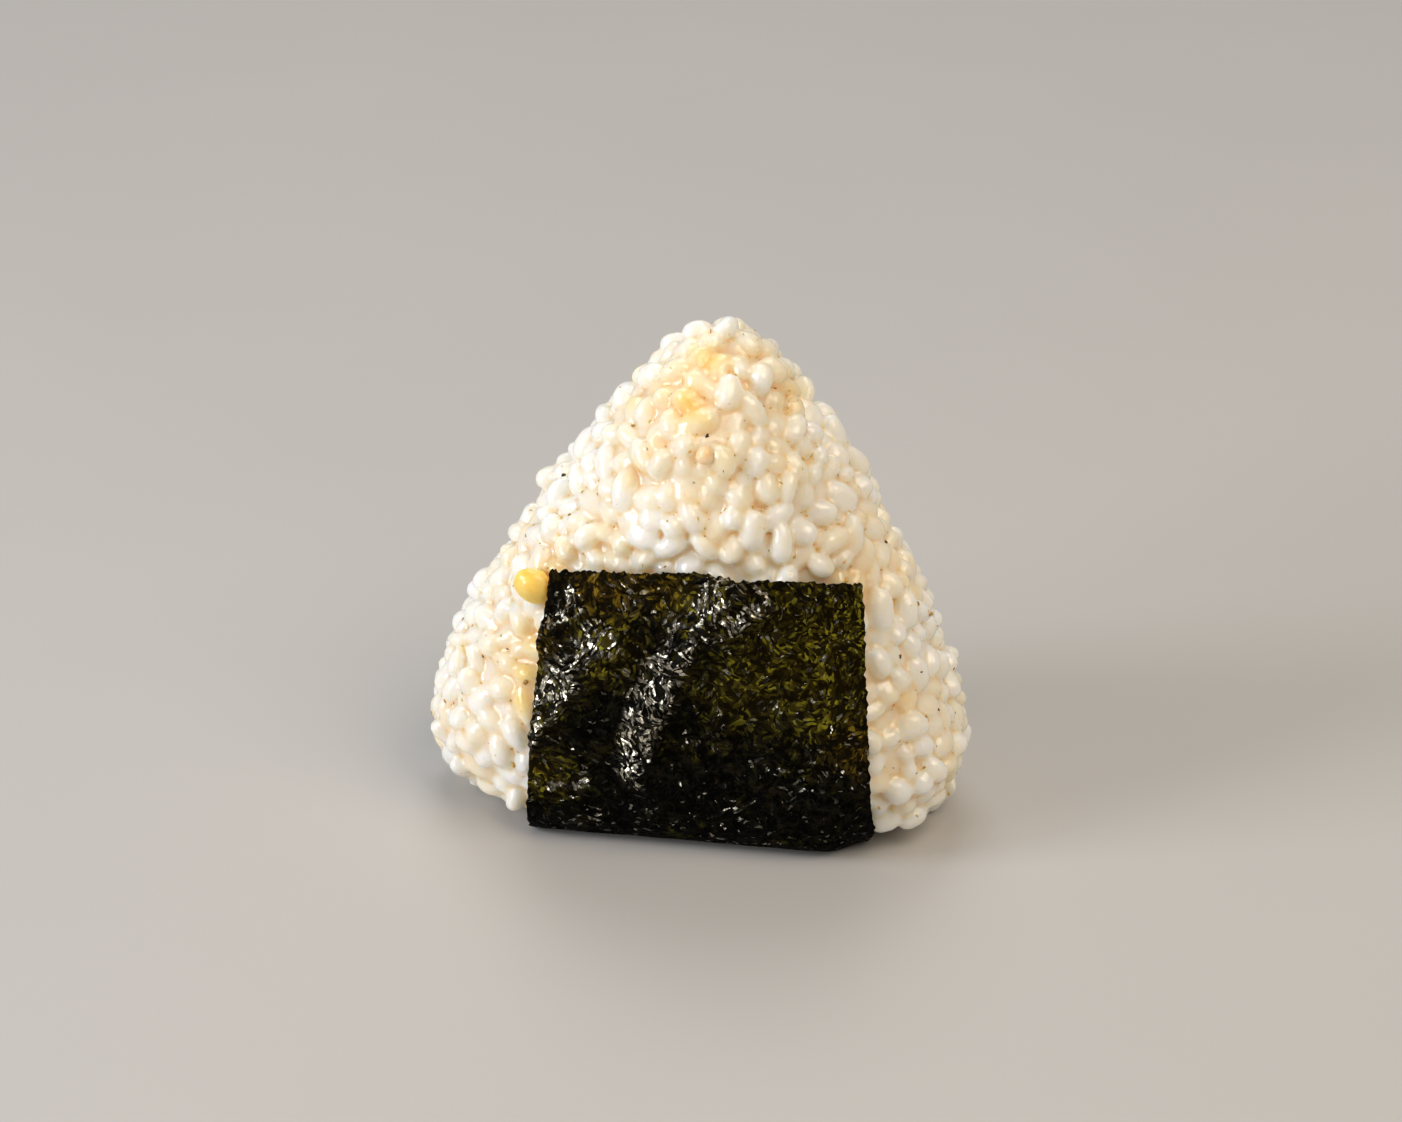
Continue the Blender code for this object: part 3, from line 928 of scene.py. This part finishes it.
CRUMB_SIZES = (0.0005, 0.0011)
CRUMBS_BEHIND = -0.0050
SEASONING_TINTS = (
    (0.0, (0.012, 0.008, 0.005)),
    (0.10, (0.09, 0.045, 0.014)),
    (0.32, (0.45, 0.24, 0.05)),
    (0.58, (0.56, 0.42, 0.08)),
    (0.82, (0.74, 0.47, 0.085)),
    (1.0, (0.95, 0.50, 0.14)),
)
SEASONING_SHADE = (0.05, 0.025, 0.008)

mass_tree = BVHTree.FromObject(mass, bpy.context.evaluated_depsgraph_get())
seasoning_draw = np.random.default_rng(31)


def chip_mesh(name, spots, lifts, lengths, widths, form):
    """Flat crumbs on the rice near the spots: each a small uneven ball, as thick as its form says."""
    found = [mass_tree.find_nearest(spot) for spot in spots]
    normals = np.array([normal for _, normal, _, _ in found])
    places = np.array([place for place, _, _, _ in found]) + normals * lifts[:, None]
    ball, faces = ball_form(1)
    count = len(places)
    ways = unit(np.cross(normals, unit(seasoning_draw.normal(size=(count, 3)))))
    axes = np.stack((ways, np.cross(normals, ways), normals), axis=1)
    uneven = 1 + seasoning_draw.uniform(-0.35, 0.35, (count, len(ball), 1))
    sizes = np.stack((lengths, widths, widths * form), axis=1) / 2
    forms = places[:, None, :] + (ball[None, :, :] * uneven * sizes[:, None, :]) @ axes
    return joined_mesh(name, forms, faces)


def add_tints(mesh, tints):
    """One tint for all the points of each crumb."""
    add_attribute(mesh, "tint", np.repeat(tints, len(mesh.vertices) // len(tints)))


def front_place(x, z):
    """The place on the front of the rice with this x and z."""
    return mass_tree.ray_cast(Vector((x, -0.0500, z)), Vector((0.0, 1.0, 0.0)))[0]


skin_places = mesh_array(mass_mesh.vertices, "co")
skin_hollow = np.empty(len(skin_places), dtype=np.float32)
mass_mesh.attributes["hollow"].data.foreach_get("value", skin_hollow)
clear = np.array([strip_cover(place) < 0.0 and place[2] > 0.002 for place in skin_places])
chances = (0.05 + skin_hollow**1.5) * clear
chances /= chances.sum()
picks = seasoning_draw.choice(len(skin_places), size=FLECK_COUNT, p=chances, replace=False)
lengths = seasoning_draw.random(FLECK_COUNT) ** 2.5
lengths = FLECK_SHORTEST + (FLECK_LONGEST - FLECK_SHORTEST) * lengths
widths = lengths * seasoning_draw.uniform(0.5, 1.0, FLECK_COUNT)
spots = skin_places[picks]
fleck_mesh = chip_mesh("flecks", spots, lengths * 0.05, lengths * 1.5, widths, FLECK_FORM)
add_tints(fleck_mesh, seasoning_draw.random(FLECK_COUNT) ** 0.55)

crumb_rows = [*CRUMBS, (front_place(*DOT_AT), *DOT_SIZES, 0.0)]
picks = seasoning_draw.choice(len(skin_places), size=RANDOM_CRUMBS, p=chances, replace=False)
for pick in picks:
    if skin_places[pick][1] > CRUMBS_BEHIND:
        length = seasoning_draw.uniform(*CRUMB_SIZES)
        crumb_rows.append((skin_places[pick], length, length * 0.6, seasoning_draw.random()))
spots = [row[0] for row in crumb_rows]
lengths, widths, tints = np.array([row[1:] for row in crumb_rows]).T
crumb_mesh = chip_mesh("crumbs", spots, lengths * 0.10, lengths, widths, CRUMB_FORM)
add_tints(crumb_mesh, tints)


def seasoning_material():
    """Black through brown and ochre to orange, by the tint of each crumb, darker where gritty."""
    values = {"Subsurface Weight": 0.3, "Subsurface Scale": 0.0004}
    made, tree, shader = new_material("seasoning", values)
    grit = noise_at(tree, object_place(tree), 6000.0, 2.0)
    ramp = add_node(tree, "ShaderNodeValToRGB")
    while len(ramp.color_ramp.elements) < len(SEASONING_TINTS):
        ramp.color_ramp.elements.new(0.5)
    for element, (position, colour) in zip(ramp.color_ramp.elements, SEASONING_TINTS):
        element.position = position
        element.color = (*colour, 1.0)
    tree.links.new(attribute(tree, "tint"), ramp.inputs["Fac"])
    plain = ramp.outputs["Color"]
    darker = mix_colour(tree, grit, plain, SEASONING_SHADE)
    colour = mix_colour(tree, between(tree, grit, 0.5, 0.8), plain, darker)
    tree.links.new(colour, shader.inputs["Base Color"])
    set_roughness(tree, shader, grit, 0.35, 0.65)
    return made


seasoning_finish = seasoning_material()

# The amber kernel at the strip's upper left corner and the brown bead on the upper front: each a
# smooth uneven drop, soft and cloudy, that the damp rice holds.

KERNEL_PLACE, KERNEL_SIZES, KERNEL_TURN = (-0.0210, -0.0153, 0.0395), (0.0029, 0.0019, 0.0025), 0.4
KERNEL_PALE, KERNEL_DEEP = (0.95, 0.68, 0.18), (0.94, 0.58, 0.10)
BEAD_AT, BEAD_SIZES, BEAD_PROUD = (0.0040, 0.0627), (0.0014, 0.0012, 0.0013), 0.0005
BEAD_PALE, BEAD_DEEP = (0.90, 0.72, 0.48), (0.86, 0.60, 0.34)


def drop_form(name, middle, sizes, turn, wave):
    """A rounded drop of the given half sizes, with slow unevenness, turned about the Y axis."""
    bm = bmesh.new()
    bmesh.ops.create_icosphere(bm, subdivisions=4, radius=1.0)
    for vertex in bm.verts:
        vertex.co *= 1 + wave * noise.noise(vertex.co * 1.3 + Vector(middle) * 400)
        vertex.co = Vector((vertex.co.x * sizes[0], vertex.co.y * sizes[1], vertex.co.z * sizes[2]))
    bmesh.ops.rotate(bm, verts=bm.verts, cent=(0, 0, 0), matrix=Matrix.Rotation(turn, 3, "Y"))
    bmesh.ops.translate(bm, verts=bm.verts, vec=middle)
    mesh = bpy.data.meshes.new(name)
    bm.to_mesh(mesh)
    bm.free()
    mesh.shade_smooth()
    return mesh


def cloudy_group():
    """A node group: a colour and a roughness that drift between two values, as in a cloudy drop."""
    group = bpy.data.node_groups.new("cloudy", "ShaderNodeTree")
    for socket in ("Pale", "Deep"):
        group.interface.new_socket(socket, in_out="INPUT", socket_type="NodeSocketColor")
    group.interface.new_socket("Colour", in_out="OUTPUT", socket_type="NodeSocketColor")
    group.interface.new_socket("Roughness", in_out="OUTPUT", socket_type="NodeSocketFloat")
    given = group.nodes.new("NodeGroupInput")
    made = group.nodes.new("NodeGroupOutput")
    cloud = noise_at(group, object_place(group), 520.0, 3.0)
    drift = between(group, cloud, 0.35, 0.65)
    colour = mix_colour(group, drift, given.outputs["Pale"], given.outputs["Deep"])
    group.links.new(colour, made.inputs["Colour"])
    set_roughness(group, made, cloud, 0.2, 0.4)
    return group


cloudy = cloudy_group()


def drop_material(name, pale, deep, scatter):
    """A soft drop: scatter is how far light runs in it."""
    values = {
        "Subsurface Weight": 0.9,
        "Subsurface Radius": (1.0, 0.55, 0.15),
        "Subsurface Scale": scatter,
        "Coat Weight": 0.2,
        "Coat Roughness": 0.12,
    }
    made, tree, shader = new_material(name, values)
    inside = add_node(tree, "ShaderNodeGroup", node_tree=cloudy)
    set_inputs(inside, {"Pale": (*pale, 1.0), "Deep": (*deep, 1.0)})
    tree.links.new(inside.outputs["Colour"], shader.inputs["Base Color"])
    tree.links.new(inside.outputs["Roughness"], shader.inputs["Roughness"])
    return made


kernel_mesh = drop_form("amber-kernel", KERNEL_PLACE, KERNEL_SIZES, KERNEL_TURN, 0.10)
kernel_finish = drop_material("kernel", KERNEL_PALE, KERNEL_DEEP, 0.0030)
kernel = add_piece("amber-kernel", kernel_mesh, kernel_finish)
bead_place = front_place(*BEAD_AT) - Vector((0.0, BEAD_PROUD, 0.0))
bead_mesh = drop_form("brown-bead", bead_place, BEAD_SIZES, 0.0, 0.12)
bead_finish = drop_material("bead", BEAD_PALE, BEAD_DEEP, 0.0014)
bead = add_piece("brown-bead", bead_mesh, bead_finish)
flecks = add_piece("flecks", fleck_mesh, seasoning_finish)
crumbs = add_piece("crumbs", crumb_mesh, seasoning_finish)
for piece in (kernel, bead, flecks, crumbs):
    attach(piece, "root")
    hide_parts("rice")

# The stage: a plain pale floor, four soft area lights round the rice ball, the low ones from the
# left, a dim white world, and a long lens that looks down a little from the front.

FLOOR_PALE, FLOOR_DEEP = (0.510, 0.500, 0.485), (0.490, 0.480, 0.465)
AIM_HEIGHT = 0.035
# Each light: azimuth, elevation, distance, width, height, power and colour.
LIGHTS = {
    "key": (-64, 28, 0.9, 0.28, 0.34, 3.9, (0.89, 0.92, 1.0)),
    "low": (-48, 12, 0.9, 0.20, 0.24, 2.2, (1.0, 0.98, 0.95)),
    "fill": (56, 54, 1.2, 0.8, 0.8, 8.8, (1.0, 0.85, 0.67)),
    "back": (-165, 58, 1.0, 0.5, 0.5, 2.7, (1.0, 1.0, 1.0)),
}
WORLD_STRENGTH = 0.22
CAMERA_AZIMUTH, CAMERA_ELEVATION = 10.0, 27.3
CAMERA_DISTANCE, CAMERA_LENS = 0.772, 135.0
CAMERA_ASIDE, CAMERA_UP = 0.00040, 0.03336

floor = bmesh.new()
bmesh.ops.create_grid(floor, x_segments=1, y_segments=1, size=3.0)
floor_mesh = bpy.data.meshes.new("floor")
floor.to_mesh(floor_mesh)
floor.free()
floor_finish, tree, shader = new_material("floor", {})
mottle = noise_at(tree, object_place(tree), 14.0, 6.0)
colour = mix_colour(tree, mottle, FLOOR_DEEP, FLOOR_PALE)
tree.links.new(colour, shader.inputs["Base Color"])
set_roughness(tree, shader, mottle, 0.45, 0.60)
floor_piece = add_piece("floor", floor_mesh, floor_finish)


def away(azimuth, elevation):
    """The direction from the rice ball towards an azimuth and an elevation in degrees."""
    a, e = radians(azimuth), radians(elevation)
    return Vector((sin(a) * cos(e), -cos(a) * cos(e), sin(e)))


def placed(data, location, back):
    """An object for a light or a camera that looks against the direction back."""
    made = bpy.data.objects.new(data.name, data)
    made.location = location
    made.rotation_mode = "QUATERNION"
    made.rotation_quaternion = back.to_track_quat("Z", "Y")
    bpy.context.scene.collection.objects.link(made)
    return made


for name, (azimuth, elevation, distance, width, height, power, colour) in LIGHTS.items():
    data = bpy.data.lights.new(name, "AREA")
    data.shape = "RECTANGLE"
    data.size = width
    data.size_y = height
    data.energy = power
    data.color = colour
    back = away(azimuth, elevation)
    placed(data, Vector((0.0, 0.0, AIM_HEIGHT)) + back * distance, back)
world = bpy.data.worlds.new("studio")
world.use_nodes = True
world.node_tree.nodes["Background"].inputs["Color"].default_value = (1.0, 1.0, 1.0, 1.0)
world.node_tree.nodes["Background"].inputs["Strength"].default_value = WORLD_STRENGTH
bpy.context.scene.world = world
bpy.context.scene.view_settings.view_transform = "Standard"

camera_data = bpy.data.cameras.new("camera")
camera_data.lens = CAMERA_LENS
camera_data.clip_start = 0.05
camera_data.clip_end = 20.0
back = away(CAMERA_AZIMUTH, CAMERA_ELEVATION)
side = Vector((cos(radians(CAMERA_AZIMUTH)), sin(radians(CAMERA_AZIMUTH)), 0.0))
location = back * CAMERA_DISTANCE + side * CAMERA_ASIDE + back.cross(side) * CAMERA_UP
camera = placed(camera_data, location, back)
bpy.context.scene.camera = camera
